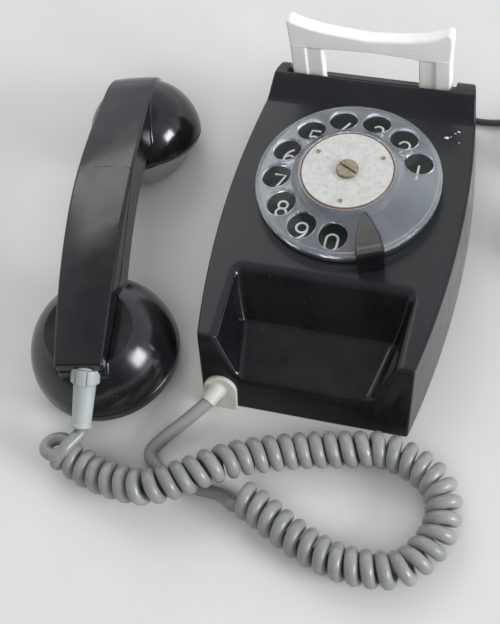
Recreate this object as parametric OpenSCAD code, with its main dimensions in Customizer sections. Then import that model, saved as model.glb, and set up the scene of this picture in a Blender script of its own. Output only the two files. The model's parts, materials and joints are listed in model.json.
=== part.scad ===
// Rotary wall telephone, stored on its back with the handset laid beside it.
// Frame: X to the right across the telephone, Y towards its top end, Z out of its face.
// The origin is on the dial's axis, in the plane of the wall side.

/* [Housing] */
// Half of the housing's greatest width, measured at the face
half_w = 49.9; // [49:0.1:51]
// Height of the flat face over the wall plane
face_z = 35; // [34.6:0.1:35.2]
// Where the lower end wall meets the wall plane
bottom_y = -92.5; // [-93:0.1:-92]
// Where the upper end wall meets the wall plane
top_y = 66; // [65.5:0.1:67]
// Thickness of the moulded wall
wall = 2.4; // [2:0.1:2.6]

/* [Dial] */
// Radius of the finger wheel
wheel_r = 39; // [38:0.1:39.3]
// Radius of the circle on which the finger holes lie
hole_pitch_r = 30; // [29:0.1:30.5]
// Radius of one finger hole
finger_r = 6; // [5.5:0.1:6.4]
// Angle of the first finger hole
first_hole = 23.4; // [20:0.1:26]
// Angle from one finger hole to the next
hole_step = 27.5; // [27:0.1:28]

/* [Cradle] */
// Sideways place of the cradle's middle
cradle_x = -2; // [-3:0.1:0]
// Height of the cradle's bar at its saddle
bar_z = 66; // [62:0.1:68]

/* [Handset] */
// Distance between the centres of the two caps
cap_span = 112.8; // [110:0.1:116]
// Radius of the mouth end's dome
mouth_r = 31; // [30:0.1:31.5]
// Radius of the ear end's dome
ear_r = 27.7; // [27:0.1:28.5]
// Height of the handle's back at its middle
handle_z = 50; // [49:0.1:51]

/* [Cords] */
// Outer diameter of the curly cord
curl_d = 15; // [14:0.1:15.5]
// Diameter of the handset cord's plain leads
lead_d = 5.4; // [5:0.1:5.6]
// Diameter of the line cord
line_d = 3; // [2.6:0.1:3.2]

/* [Hidden] */
$fn = 64;

// Housing outline: each long side is one arc, drawn in slightly towards the face.
side_r = 390;
side_y = -12.5;
draft = 1;
shell_top = 50;
crease_y = -81;
brow_y = 41.5;
lip_y = 50.5;
lip_z = 42.5;
slot_y = [52, 60.5];
rear_z = 32;
ceiling_z = face_z - wall;
recess_x = [cradle_x - 37, cradle_x + 37];
end_tilt = atan((crease_y - bottom_y) / face_z);
dial_hole_r = 33;

// Pocket for the mouth end, open through the lower end wall
pocket_top_y = -46.5;
pocket_back_y = -61;
pocket_floor_z = [16.5, 14.2];
pocket_half = [36.5, 27.5];

// Base plate
plate_t = 2.5;
plate_gap = 0.2;
wall_hole_y = 40;
wall_hole_r = 2.5;

// Screw through the upper end wall that holds the housing to its plate
fix_at = [-36, 5.5];
fix_r = 1.5;

// Dial levels
shaft_r = 3;
run_gap = 0.05;
frame_z = [31.4, 34.9];
plate_z = [35, 36.2];
back_z = [11.5, 13];
card_z = [45.6, 46.8];
card_r = 18.9;
rivet_at = [32, 152, 272];
rivet_pitch_r = 15.8;
pillar_at = [40, 160, 280];
pillar_pitch_r = 27.5;

// Gear train: drive gear, idler pinion, crown gear, governor pinion
drive_teeth = 48;
idler_teeth = 16;
drive_mod = 0.75;
crown_teeth = 44;
governor_teeth = 11;
crown_mod = 0.5;
idler_y = drive_mod * (drive_teeth + idler_teeth) / 2;
governor_turn = 200;
governor_reach = crown_mod * (crown_teeth + governor_teeth) / 2;
governor_at = [governor_reach * cos(governor_turn), idler_y + governor_reach * sin(governor_turn)];
pressure = 20;
flank_slack = 0.12;
idler_r = 1.5;
spindle_r = 1.2;

// Cradle and its switch
hook_y = 57;
hook_z = 22;
pin_r = 1.5;
post_y = [54, 60];
post_w = 14;
switch_x = -24;
switch_y = 44;
plunger_r = 1.5;

// Ringer
gong_x = 17.5;
gong_y = -70.5;
gong_r = 14.5;
coil_y = -52.5;
clapper_y = -59.8;

// Handset frame: its own Y runs from the mouth end to the ear end
hand_x = -96.3;
hand_y = -28;
hand_turn = 9.5;
mouth_y = -cap_span / 2;
ear_y = cap_span / 2;
mouth_z = 9.5;
ear_z = 10;
seam_z = 9;
handle_half = 12.6;
handle_end = -78.5;
side_arc_r = 1300;
back_arc_r = 294;
under_arc_r = 123;
under_z = 34;
ear_roll_y = 46;
ear_roll_r = 36.2;
gland_root = [0, -77, 36];
gland_tip = [-3, -94.6, 17];
collar_root = [-35.5, -88.5, 9];
collar_tip = [-39, -97, 8];

curl_gap = 0.8;
function unit(v) = v / norm(v);

// A place in the handset's frame, in the telephone's frame
function laid(p) = [
    hand_x + p[0] * cos(hand_turn) - p[1] * sin(hand_turn),
    hand_y + p[0] * sin(hand_turn) + p[1] * cos(hand_turn),
    p[2]
];

// Curly cord: from just off the handset's gland, round the open loop, to where its coils end
curl_start = laid(gland_tip + curl_gap * unit(gland_tip - gland_root));
curl_route = [
    curl_start, [-84, -126, 13], [-81, -133, 9], [-74.5, -137, 8.5], [-61, -139.5, 11],
    [-50, -139.5, 13.2], [-38.5, -133.5, 13.5], [-28, -125.8, 13.2], [-16, -117.8, 10],
    [2.5, -110.6, 8], [24.5, -105.3, 8], [36, -103.5, 8], [49, -107, 8], [59, -114, 8],
    [63, -124, 8], [61.5, -136, 8], [54, -147.5, 8], [46, -151.2, 8], [31, -152.2, 8],
    [17.5, -149, 8], [5, -143.5, 8], [-6.5, -137.5, 8], [-15.5, -133.8, 8]
];
// Plain lead: from the end of the coils, under the first strand, to the telephone's gland
lead_route = [
    [-16, -134, 5], [-24, -133, 3], [-36, -132, 2.8], [-50, -128, 2.8], [-57, -122, 2.8],
    [-54, -115, 3.5], [-46, -106, 6], collar_tip
];
// Line cord: from its gland behind the top end, round the corner, to the coil
line_exit = [26, 68, 6];
line_gland_y = 62.3;
coil_at = [88, 60];
coil_mean_r = 16.5;
coil_section = [12, 10.5];
coil_lift = 1;
line_route = [
    line_exit, [26.5, 71, 3.6], [30, 73, 1.8], [36, 72.5, 1.7], [44, 70.5, 1.7],
    [54, 71.5, 1.7], [63, 75, 2], [73, 80, 3], [82, 81, 5]
];
plug_route = [[94, 39.3, 5], [96, 34, 5], [95, 28, 5.5], [92, 22, 6]];
plug_at = [92, 22, 6];
plug_size = [22, 26, 12];

// Smooth curve through a list of points
function between(a, b, c, d, t) = 0.5 * (
    2 * b + (c - a) * t + (2 * a - 5 * b + 4 * c - d) * t * t
    + (3 * b - a - 3 * c + d) * t * t * t
);
function smooth(p, n) = concat(
    [for (i = [0:len(p) - 2]) for (k = [0:n - 1])
        between(p[max(i - 1, 0)], p[i], p[i + 1], p[min(i + 2, len(p) - 1)], k / n)],
    [p[len(p) - 1]]
);

// Round tube swept along a smooth curve
module tube(route, r, sides, n) {
    p = smooth(route, n);
    last = len(p) - 1;
    along = [for (i = [0:last]) unit(p[min(i + 1, last)] - p[max(i - 1, 0)])];
    side = [for (t = along) unit(cross(t, [0, 0, 1]))];
    up = [for (i = [0:last]) cross(side[i], along[i])];
    rings = [for (i = [0:last]) for (k = [0:sides - 1])
        p[i] + r * (cos(360 * k / sides) * side[i] + sin(360 * k / sides) * up[i])];
    skin = [for (i = [0:last - 1]) for (k = [0:sides - 1])
        let (a = i * sides + k, b = i * sides + (k + 1) % sides)
        for (f = [[a, b, a + sides], [b, b + sides, a + sides]]) f];
    first_cap = [for (k = [0:sides - 1]) sides - 1 - k];
    last_cap = [for (k = [0:sides - 1]) last * sides + k];
    polyhedron(rings, concat([first_cap], skin, [last_cap]), convexity = 8);
}

// Cylinder or cone from one point to another
module rod(a, b, r1, r2) {
    d = b - a;
    translate(a)
        rotate([0, acos(d[2] / norm(d)), atan2(d[1], d[0])])
            cylinder(h = norm(d), r1 = r1, r2 = r2);
}

// Outline in the Y-Z plane, extruded across X
module across(points, x0, x1) {
    translate([x0, 0, 0])
        rotate([90, 0, 90])
            linear_extrude(x1 - x0)
                polygon(points);
}

// Box between two corners
module block(a, b) {
    translate(a)
        cube(b - a);
}

// Involute gear
function inv(a) = tan(a) * 180 / PI - a;
function tooth_half(r, teeth, mod) =
    90 / teeth - flank_slack / (mod * teeth / 2) * 180 / PI + inv(pressure)
    - inv(acos(min(1, mod * teeth / 2 * cos(pressure) / r)));
module gear(teeth, mod, thick, bore) {
    pitch_r = mod * teeth / 2;
    base_r = pitch_r * cos(pressure);
    root_r = pitch_r - 1.2 * mod;
    tip_r = pitch_r + 0.85 * mod;
    low_r = max(base_r, root_r);
    flank = [root_r, low_r + 0.02, (low_r + pitch_r) / 2 + 0.01, pitch_r, (pitch_r + tip_r) / 2, tip_r];
    half = [for (r = flank) tooth_half(max(r, low_r), teeth, mod)];
    linear_extrude(thick)
        difference() {
            polygon([for (i = [0:teeth - 1]) for (s = [-1, 1]) for (k = [0:5])
                let (j = s < 0 ? k : 5 - k, a = 360 * i / teeth + s * half[j])
                flank[j] * [cos(a), sin(a)]]);
            circle(bore);
        }
}

// Plan of the housing, drawn in by a margin, between two heights
module plan(margin, z0, z1) {
    lean = draft / face_z;
    for_r = side_r + draft - margin;
    intersection_for (s = [-1, 1])
        translate([s * (side_r - half_w), side_y, z0])
            cylinder(h = z1 - z0, r1 = for_r - lean * z0, r2 = for_r - lean * z1, $fn = 360);
}

module pocket_space(margin) {
    z_low = pocket_floor_z[0] - margin;
    z_mouth = pocket_floor_z[1] - margin;
    intersection() {
        across([
            [pocket_top_y + margin, shell_top], [pocket_top_y + margin, face_z],
            [pocket_back_y + margin, z_low], [bottom_y - 8, z_mouth], [bottom_y - 8, shell_top]
        ], -50, 50);
        translate([0, -110, 0])
            rotate([-90, 0, 0])
                mirror([0, 1, 0])
                    linear_extrude(80)
                        polygon([
                            [-pocket_half[0] - margin, face_z], [-pocket_half[1] - margin, z_mouth],
                            [pocket_half[1] + margin, z_mouth], [pocket_half[0] + margin, face_z],
                            [pocket_half[0] + margin, shell_top], [-pocket_half[0] - margin, shell_top]
                        ]);
    }
}

module housing_solid() {
    intersection() {
        plan(0, 0, shell_top);
        across([
            [bottom_y, 0], [crease_y, face_z], [brow_y, face_z], [lip_y, lip_z],
            [lip_y + 3, lip_z], [lip_y + 8.5, lip_z - 2], [top_y - 3, face_z],
            [top_y - 1, face_z - 9], [top_y, 0]
        ], -60, 60);
    }
}

module housing_inside() {
    intersection() {
        plan(wall, -1, shell_top);
        across([
            [bottom_y + wall, -1], [bottom_y + wall, 0], [crease_y + 2, ceiling_z],
            [slot_y[0], ceiling_z], [slot_y[0], 28], [slot_y[1], 28],
            [top_y - 3.4, 24], [top_y - wall, 0], [top_y - wall, -1]
        ], -60, 60);
    }
}

module housing() {
    color([0.06, 0.06, 0.07])
        difference() {
            housing_solid();
            difference() {
                housing_inside();
                pocket_space(wall);
            }
            pocket_space(0);
            block([recess_x[0], slot_y[0], rear_z], [recess_x[1], top_y + 4, shell_top]);
            block([recess_x[0], slot_y[0], 27], [recess_x[1], slot_y[1], shell_top]);
            translate([0, 0, 20])
                cylinder(h = 20, r = dial_hole_r);
            translate([line_exit[0], top_y - 6, line_exit[2]])
                rotate([-90, 0, 0])
                    cylinder(h = 10, r = 3);
            translate([fix_at[0], top_y - 6, fix_at[1]])
                rotate([-90, 0, 0])
                    cylinder(h = 8, r = fix_r + 0.2);
        }
}

module base_plate() {
    inset = wall + plate_gap;
    color([0.45, 0.46, 0.48]) {
        difference() {
            intersection() {
                plan(inset, 0, plate_t);
                block([-60, bottom_y + inset + 1, 0], [60, top_y - inset, plate_t]);
            }
            for (s = [-1, 1])
                translate([0, s * wall_hole_y, -1])
                    cylinder(h = 5, r = wall_hole_r);
        }
        for (x = [-38, 38])
            for (y = [-28, 28])
                translate([x, y, plate_t])
                    cylinder(h = 2.5, r = 2.5);
        difference() {
            block([fix_at[0] - 3, top_y - 9, plate_t], [fix_at[0] + 3, top_y - 7, 9.5]);
            translate([fix_at[0], top_y - 12, fix_at[1]])
                rotate([-90, 0, 0])
                    cylinder(h = 12, r = fix_r);
        }
    }
}

module housing_screw() {
    color([0.7, 0.7, 0.72])
        translate([fix_at[0], top_y - 9.6, fix_at[1]])
            rotate([-90, 0, 0])
                difference() {
                    union() {
                        cylinder(h = 9.8, r = fix_r);
                        translate([0, 0, 9.8])
                            cylinder(h = 1.4, r = 2.8);
                    }
                    translate([-3, -0.4, 10.6])
                        cube([6, 0.8, 2]);
                }
}

module number_plate() {
    color([0.05, 0.05, 0.05])
        difference() {
            translate([0, 0, plate_z[0]])
                cylinder(h = plate_z[1] - plate_z[0], r = wheel_r - 0.8);
            translate([0, 0, 30])
                cylinder(h = 10, r = 6);
        }
}

module dial_frame() {
    color([0.72, 0.73, 0.75])
        difference() {
            union() {
                translate([0, 0, frame_z[0]])
                    cylinder(h = frame_z[1] - frame_z[0], r = dial_hole_r - 0.2);
                translate([0, 0, 29.2])
                    cylinder(h = 9, r = 5.6);
            }
            translate([0, 0, 20])
                cylinder(h = 20, r = shaft_r + run_gap);
            translate([0, idler_y, 30])
                cylinder(h = 3.4, r = idler_r + run_gap);
            translate([governor_at[0], governor_at[1], 30])
                cylinder(h = 3.4, r = spindle_r + run_gap);
        }
}

module dial_pillars() {
    color([0.75, 0.65, 0.35])
        for (a = pillar_at)
            rotate([0, 0, a])
                translate([pillar_pitch_r, 0, back_z[1]])
                    cylinder(h = frame_z[0] - back_z[1], r = 2.5);
}

module dial_back_plate() {
    color([0.72, 0.73, 0.75])
        difference() {
            translate([0, 0, back_z[0]])
                cylinder(h = back_z[1] - back_z[0], r = 31);
            translate([0, 0, 5])
                cylinder(h = 20, r = shaft_r + run_gap);
            translate([0, idler_y, 5])
                cylinder(h = 20, r = idler_r + run_gap);
            translate([governor_at[0], governor_at[1], 5])
                cylinder(h = 20, r = spindle_r + run_gap);
        }
}

module finger_stop() {
    claw = [
        [10.4, -19.5], [12.2, -19.6], [15.3, -22.7], [20.3, -29.5], [22.4, -34.2],
        [23.4, -37.6], [13, -42], [11.4, -38], [10.4, -33], [9.8, -25]
    ];
    leg = [[12, -38.3], [21.8, -34.2], [23.4, -37.6], [13, -42]];
    color([0.04, 0.04, 0.04]) {
        translate([0, 0, 46.2])
            linear_extrude(1.6)
                polygon(claw);
        translate([0, 0, face_z])
            linear_extrude(11.2)
                polygon(leg);
    }
}

module spring_cup() {
    color([0.7, 0.71, 0.72])
        translate([0, 0, back_z[1]])
            difference() {
                cylinder(h = 11.2, r = 12);
                translate([0, 0, 1])
                    cylinder(h = 12, r = 11);
                translate([0, 0, -1])
                    cylinder(h = 4, r = 4.2);
            }
}

module main_spring() {
    turns = 4;
    steps = 24 * turns;
    r_in = 4.4;
    r_out = 10.3;
    strip = 0.5;
    color([0.35, 0.36, 0.4])
        translate([0, 0, 14.6])
            linear_extrude(8)
                polygon(concat(
                    [for (i = [0:steps]) let (a = 360 * turns * i / steps,
                        r = r_in + (r_out - r_in) * i / steps)
                        r * [cos(a), sin(a)]],
                    [for (j = [0:steps]) let (i = steps - j, a = 360 * turns * i / steps,
                        r = r_in + (r_out - r_in) * i / steps + strip)
                        r * [cos(a), sin(a)]]
                ));
}

module governor_drum() {
    color([0.8, 0.7, 0.4])
        translate([governor_at[0], governor_at[1], back_z[1]])
            difference() {
                cylinder(h = 6, r = 8.5);
                translate([0, 0, 1])
                    cylinder(h = 6, r = 7.7);
                translate([0, 0, -1])
                    cylinder(h = 4, r = 2.2);
            }
}

module contact_block() {
    color([0.35, 0.2, 0.1])
        block([10, 19.5, back_z[1]], [15, 26, 18.6]);
}

module pulse_contacts() {
    color([0.8, 0.75, 0.5])
        for (y = [21, 24.2])
            block([5.4, y, 14.4], [10, y + 0.4, 17.4]);
}

module finger_wheel() {
    color([0.82, 0.84, 0.85, 0.5])
        difference() {
            rotate_extrude()
                polygon([
                    [shaft_r + 0.02, 42.5], [19.5, 42.5], [38, 38.9], [wheel_r, 38.9],
                    [wheel_r, 40.9], [38, 41.2], [23, 44.1], [20.7, 46.2], [20.2, 46.6],
                    [19, 46.6], [19, card_z[0]], [shaft_r + 0.02, card_z[0]]
                ]);
            for (i = [0:9])
                rotate([0, 0, first_hole + hole_step * i])
                    translate([hole_pitch_r, 0, 35])
                        cylinder(h = 12, r = finger_r);
        }
}

module number_card() {
    color([0.75, 0.75, 0.72])
        translate([0, 0, card_z[0]])
            difference() {
                cylinder(h = card_z[1] - card_z[0], r = card_r);
                translate([0, 0, -1])
                    cylinder(h = 4, r = 1.55);
            }
}

module card_rivets() {
    color([0.7, 0.6, 0.35])
        for (a = rivet_at)
            rotate([0, 0, a])
                translate([rivet_pitch_r, 0, card_z[1]])
                    cylinder(h = 0.3, r = 0.9, $fn = 24);
}

module wheel_screw() {
    color([0.7, 0.55, 0.3])
        translate([0, 0, card_z[1]])
            difference() {
                union() {
                    cylinder(h = 1.5, r = 4.6);
                    translate([0, 0, -7])
                        cylinder(h = 7, r = 1.5);
                }
                rotate([0, 0, -28])
                    translate([-6, -0.55, 0.7])
                        cube([12, 1.1, 2]);
            }
}

module dial_shaft() {
    color([0.7, 0.71, 0.72])
        difference() {
            union() {
                translate([0, 0, 11.8])
                    cylinder(h = card_z[0] - 11.8, r = shaft_r);
                translate([0, 0, 38.6])
                    cylinder(h = 3.9, r = 8);
            }
            translate([0, 0, 38])
                cylinder(h = 10, r = 1.55);
        }
}

module drive_gear() {
    color([0.8, 0.68, 0.38])
        translate([0, 0, 26])
            gear(drive_teeth, drive_mod, 2.4, shaft_r);
}

module idler_arbor() {
    color([0.75, 0.75, 0.77])
        translate([0, idler_y, 11.8])
            cylinder(h = 21, r = idler_r);
}

module idler_pinion() {
    color([0.8, 0.68, 0.38])
        translate([0, idler_y, 25.8])
            rotate([0, 0, -90 + 180 / idler_teeth])
                gear(idler_teeth, drive_mod, 2.8, idler_r);
}

module crown_gear() {
    color([0.8, 0.68, 0.38])
        translate([0, idler_y, 20])
            rotate([0, 0, governor_turn])
                gear(crown_teeth, crown_mod, 1.6, idler_r);
}

module pulse_cam() {
    color([0.75, 0.2, 0.15])
        translate([0, idler_y, 14.8])
            linear_extrude(2.2)
                difference() {
                    intersection() {
                        circle(4);
                        square([5.4, 12], center = true);
                    }
                    circle(idler_r);
                }
}

module governor_spindle() {
    color([0.75, 0.75, 0.77])
        translate([governor_at[0], governor_at[1], 0]) {
            translate([0, 0, 11.8])
                cylinder(h = 21, r = spindle_r);
            translate([0, 0, 19.8])
                rotate([0, 0, governor_turn + 180 + 180 / governor_teeth])
                    gear(governor_teeth, crown_mod, 2, spindle_r - 0.1);
        }
}

module governor_weights() {
    color([0.8, 0.68, 0.38])
        translate([governor_at[0], governor_at[1], 14.6]) {
            difference() {
                cylinder(h = 3, r = 2.4);
                translate([0, 0, -1])
                    cylinder(h = 5, r = spindle_r);
            }
            for (a = [0, 180])
                rotate([0, 0, a]) {
                    translate([2, -0.5, 0.8])
                        cube([3.4, 1, 1.4]);
                    translate([5.2, 0, 0])
                        cylinder(h = 3, r = 2);
                }
        }
}

module hook_bracket() {
    lugs = [cradle_x - 30, cradle_x + 28];
    color([0.7, 0.71, 0.72]) {
        difference() {
            block([lugs[0], 52.5, plate_t], [lugs[1] + 2, 62, plate_t + 1.5]);
            translate([0, 0, -1])
                block([cradle_x - 24, 50, 0], [cradle_x + 24, 58, 9]);
        }
        for (x = lugs)
            difference() {
                block([x, 53.5, plate_t + 1.5], [x + 2, 60.5, 26]);
                translate([x - 1, hook_y, hook_z])
                    rotate([0, 90, 0])
                        cylinder(h = 4, r = pin_r);
            }
    }
}

module hook_pin() {
    color([0.75, 0.75, 0.77])
        translate([cradle_x - 31, hook_y, hook_z])
            rotate([0, 90, 0])
                cylinder(h = 62, r = pin_r);
}

module hook_cradle() {
    x0 = cradle_x - 35;
    x1 = cradle_x + 35;
    color([0.93, 0.92, 0.87])
        difference() {
            union() {
                translate([cradle_x - 27.6, hook_y, hook_z])
                    rotate([0, 90, 0])
                        cylinder(h = 55.2, r = 3.6);
                block([cradle_x - 27.6, 55.2, hook_z], [cradle_x + 27.6, 58.8, 29]);
                block([x0, post_y[0], 27.5], [x1, post_y[1], 33]);
                for (x = [x0, x1 - post_w])
                    block([x, post_y[0] + 0.8, 33], [x + post_w, post_y[1], bar_z - 4]);
                for (x = [x0, x1 - post_w / 2])
                    block([x, post_y[0], 33], [x + post_w / 2, post_y[1], bar_z - 8]);
                translate([0, post_y[1], 0])
                    rotate([90, 0, 0])
                        linear_extrude(post_y[1] - post_y[0])
                            polygon([
                                [x0, bar_z - 10], [x0 + 14, bar_z - 10], [x0 + 18, bar_z - 9.4],
                                [cradle_x, bar_z - 8.6], [x1 - 18, bar_z - 9.4], [x1 - 14, bar_z - 10],
                                [x1, bar_z - 10], [x1 + 1, bar_z + 2], [x1 + 0.2, bar_z + 5.6],
                                [x1 - 3, bar_z + 7], [x1 - 10, bar_z + 6.6], [x1 - 15, bar_z + 2.6],
                                [x1 - 20, bar_z + 0.4], [cradle_x, bar_z - 1], [x0 + 20, bar_z + 0.4],
                                [x0 + 15, bar_z + 2.6], [x0 + 12, bar_z + 5.2], [x0 + 2, bar_z + 4.4],
                                [x0 - 0.4, bar_z + 2.4]
                            ]);
            }
            translate([cradle_x - 40, hook_y, hook_z])
                rotate([0, 90, 0])
                    cylinder(h = 80, r = pin_r + run_gap);
            block([switch_x - 2.1, 50, 15], [switch_x + 2.1, 57, 33.5]);
        }
}

module hook_arm() {
    color([0.7, 0.71, 0.72])
        difference() {
            translate([switch_x - 2, 0, 0])
                across([
                    [switch_y - 2, 17.6], [switch_y + 2, 17.6], [53.5, 20], [55.2, 26.8],
                    [57, 26.8], [57, 28.6], [53.6, 28.6], [51.8, 21.4], [switch_y - 2, 19.2]
                ], 0, 4);
            translate([cradle_x - 40, hook_y, hook_z])
                rotate([0, 90, 0])
                    cylinder(h = 80, r = 3.65);
        }
}

module switch_block() {
    color([0.35, 0.2, 0.1])
        difference() {
            block([switch_x - 8, switch_y - 5, plate_t], [switch_x + 8, switch_y + 5, 13]);
            translate([switch_x, switch_y, 6])
                cylinder(h = 20, r = plunger_r + run_gap);
            block([switch_x - 9, switch_y - 3, 4.5], [switch_x + 9, switch_y + 3, 8]);
        }
}

module switch_contacts() {
    color([0.8, 0.75, 0.5])
        for (z = [4.7, 6])
            block([switch_x - 14, switch_y - 2, z], [switch_x + 7, switch_y + 2, z + 0.4]);
}

module switch_plunger() {
    color([0.9, 0.9, 0.85])
        translate([switch_x, switch_y, 7.8])
            cylinder(h = 9.4, r = plunger_r);
}

module circuit_board() {
    color([0.1, 0.3, 0.15])
        difference() {
            block([-42, -33, plate_t + 2.5], [42, 33, plate_t + 4.1]);
            for (x = [-38, 38])
                for (y = [-28, 28])
                    translate([x, y, 0])
                        cylinder(h = 10, r = 1.4);
        }
}

module transformer() {
    color([0.5, 0.35, 0.2])
        block([33, 8, 6.7], [42, 22, 17]);
}

module capacitor() {
    color([0.2, 0.35, 0.6])
        translate([37.5, -22, 11.2])
            rotate([-90, 0, 0])
                cylinder(h = 18, r = 4.4);
}

module terminal_block() {
    color([0.85, 0.8, 0.65])
        difference() {
            block([-42, -22, 6.7], [-34, 4, 13]);
            for (i = [0:3])
                translate([-38, -18.5 + 6.3 * i, 8])
                    cylinder(h = 9, r = 1.4);
        }
}

module terminal_screws() {
    color([0.75, 0.65, 0.35])
        for (i = [0:3])
            translate([-38, -18.5 + 6.3 * i, 0]) {
                translate([0, 0, 9])
                    cylinder(h = 4, r = 1.3);
                translate([0, 0, 13.05])
                    cylinder(h = 1.2, r = 2.2);
            }
}

module ringer_coil() {
    color([0.55, 0.25, 0.12])
        translate([-8.5, coil_y, 9])
            rotate([0, 90, 0])
                difference() {
                    cylinder(h = 17, r = 5);
                    translate([0, 0, -1])
                        cylinder(h = 20, r = 2);
                }
}

module ringer_yoke() {
    color([0.6, 0.6, 0.62]) {
        translate([-11, coil_y, 9])
            rotate([0, 90, 0])
                cylinder(h = 22, r = 1.98);
        for (x = [-12.5, 11])
            block([x, -56.5, plate_t], [x + 1.5, coil_y + 3, 12.5]);
        translate([0, clapper_y, plate_t])
            cylinder(h = 9.5, r = 0.9);
    }
}

module clapper() {
    color([0.65, 0.65, 0.67])
        difference() {
            union() {
                block([-5.6, clapper_y - 1, 6], [5.6, clapper_y + 1, 10.5]);
                translate([0, clapper_y, 6])
                    cylinder(h = 4.5, r = 1.9);
                translate([0, clapper_y, 8])
                    rotate([90, 0, 0])
                        cylinder(h = 10, r = 0.6);
                translate([0, gong_y, 8])
                    sphere(2);
            }
            translate([0, clapper_y, 0])
                cylinder(h = 20, r = 0.95);
        }
}

module gongs() {
    color([0.78, 0.74, 0.6])
        for (s = [-1, 1])
            translate([s * gong_x, gong_y, 4])
                rotate_extrude()
                    polygon([
                        [2.1, 7], [2.1, 6], [9.5, 6], [12.4, 4.8], [13.5, 2.6], [13.5, 0],
                        [gong_r, 0], [gong_r, 3], [13.2, 5.6], [10, 7]
                    ]);
}

module gong_screws() {
    color([0.7, 0.71, 0.72])
        for (s = [-1, 1])
            translate([s * gong_x, gong_y, plate_t]) {
                cylinder(h = 7.4, r = 3);
                cylinder(h = 8.6, r = 2);
                translate([0, 0, 8.55])
                    cylinder(h = 1, r = 3.4);
            }
}

module cord_gland() {
    color([0.82, 0.8, 0.72])
        difference() {
            union() {
                translate([-35, bottom_y, 0])
                    rotate([-end_tilt, 0, 0])
                        rotate([90, 0, 0])
                            linear_extrude(1.8)
                                union() {
                                    translate([-7, 0])
                                        square([14, 9]);
                                    translate([0, 9])
                                        circle(7);
                                }
                rod(collar_root, collar_tip, 4.4, 3.6);
            }
            across([
                [bottom_y, 0], [crease_y, face_z], [crease_y + 20, face_z], [bottom_y + 20, 0]
            ], -60, 0);
        }
}

module line_gland() {
    color([0.05, 0.05, 0.05])
        translate([line_exit[0], line_gland_y, line_exit[2]])
            rotate([-90, 0, 0])
                cylinder(h = line_exit[1] - line_gland_y, r = 2.9);
}

module handset_cord() {
    color([0.5, 0.51, 0.5])
        tube(curl_route, curl_d / 2, 10, 2);
}

module handset_cord_lead() {
    color([0.5, 0.51, 0.5])
        tube(lead_route, lead_d / 2, 8, 2);
}

module line_cord() {
    color([0.16, 0.17, 0.18]) {
        tube(line_route, line_d / 2, 8, 2);
        tube(plug_route, line_d / 2, 8, 2);
    }
}

module line_coil() {
    w = coil_section[0];
    h = coil_section[1];
    color([0.16, 0.17, 0.18])
        translate([coil_at[0], coil_at[1], coil_lift])
            rotate_extrude()
                polygon([
                    [coil_mean_r - w / 2, 2.5], [coil_mean_r - w / 2 + 2.5, 0],
                    [coil_mean_r + w / 2 - 2.5, 0], [coil_mean_r + w / 2, 2.5],
                    [coil_mean_r + w / 2, h - 2.5], [coil_mean_r + w / 2 - 2.5, h],
                    [coil_mean_r - w / 2 + 2.5, h], [coil_mean_r - w / 2, h - 2.5]
                ]);
}

module coil_tie() {
    w = coil_section[0] / 2;
    h = coil_section[1];
    color([0.08, 0.08, 0.08])
        translate([coil_at[0] + coil_mean_r, coil_at[1], coil_lift])
            difference() {
                block([-w - 1.4, -1.5, -0.9], [w + 1.4, 1.5, h + 0.9]);
                block([-w - 0.4, -2, -0.1], [w + 0.4, 2, h + 0.1]);
            }
}

module line_plug() {
    color([0.8, 0.78, 0.7])
        translate([plug_at[0] - plug_size[0] / 2, plug_at[1] - plug_size[1], 0])
            block([0, 0, 0], plug_size);
}

module plug_pins() {
    color([0.8, 0.7, 0.4])
        for (x = [-6, 0, 6])
            translate([plug_at[0] + x - 0.6, plug_at[1] - plug_size[1] - 11, 4])
                cube([1.2, 11, 4]);
}

// Puts a handset piece where the handset lies
module laid_down() {
    translate([hand_x, hand_y, 0])
        rotate([0, 0, hand_turn])
            children();
}

// Handle as a bar: arched back, arched underside, squared end at the mouth, rolled end at the ear
module handle_bar() {
    difference() {
        intersection() {
            intersection_for (s = [-1, 1])
                translate([s * (side_arc_r - handle_half), 0, 20])
                    cylinder(h = 40, r = side_arc_r, $fn = 720);
            translate([-20, 0, handle_z - back_arc_r])
                rotate([0, 90, 0])
                    cylinder(h = 40, r = back_arc_r, $fn = 720);
            union() {
                block([-20, handle_end, 0], [20, ear_roll_y, 60]);
                translate([-20, ear_roll_y, ear_z])
                    rotate([0, 90, 0])
                        cylinder(h = 40, r = ear_roll_r, $fn = 128);
            }
        }
        translate([-20, 0, under_z - under_arc_r])
            rotate([0, 90, 0])
                cylinder(h = 40, r = under_arc_r, $fn = 360);
    }
}

// Everything above the joint between the handle and its cover
module cover_side(lift) {
    across([
        [handle_end - 5, 33.5 + lift], [handle_end + 20, 36 + lift], [14, 49 + lift], [14, 60],
        [handle_end - 5, 60]
    ], -20, 20);
}

// Bore for the gland, in both halves of the handle
module gland_seat() {
    rod(gland_root + [0.6, 3, 3.4], gland_tip, 5.3, 5.3);
}

module handle_cover() {
    color([0.07, 0.07, 0.09])
        laid_down()
            difference() {
                intersection() {
                    handle_bar();
                    cover_side(0.25);
                }
                gland_seat();
            }
}

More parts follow.
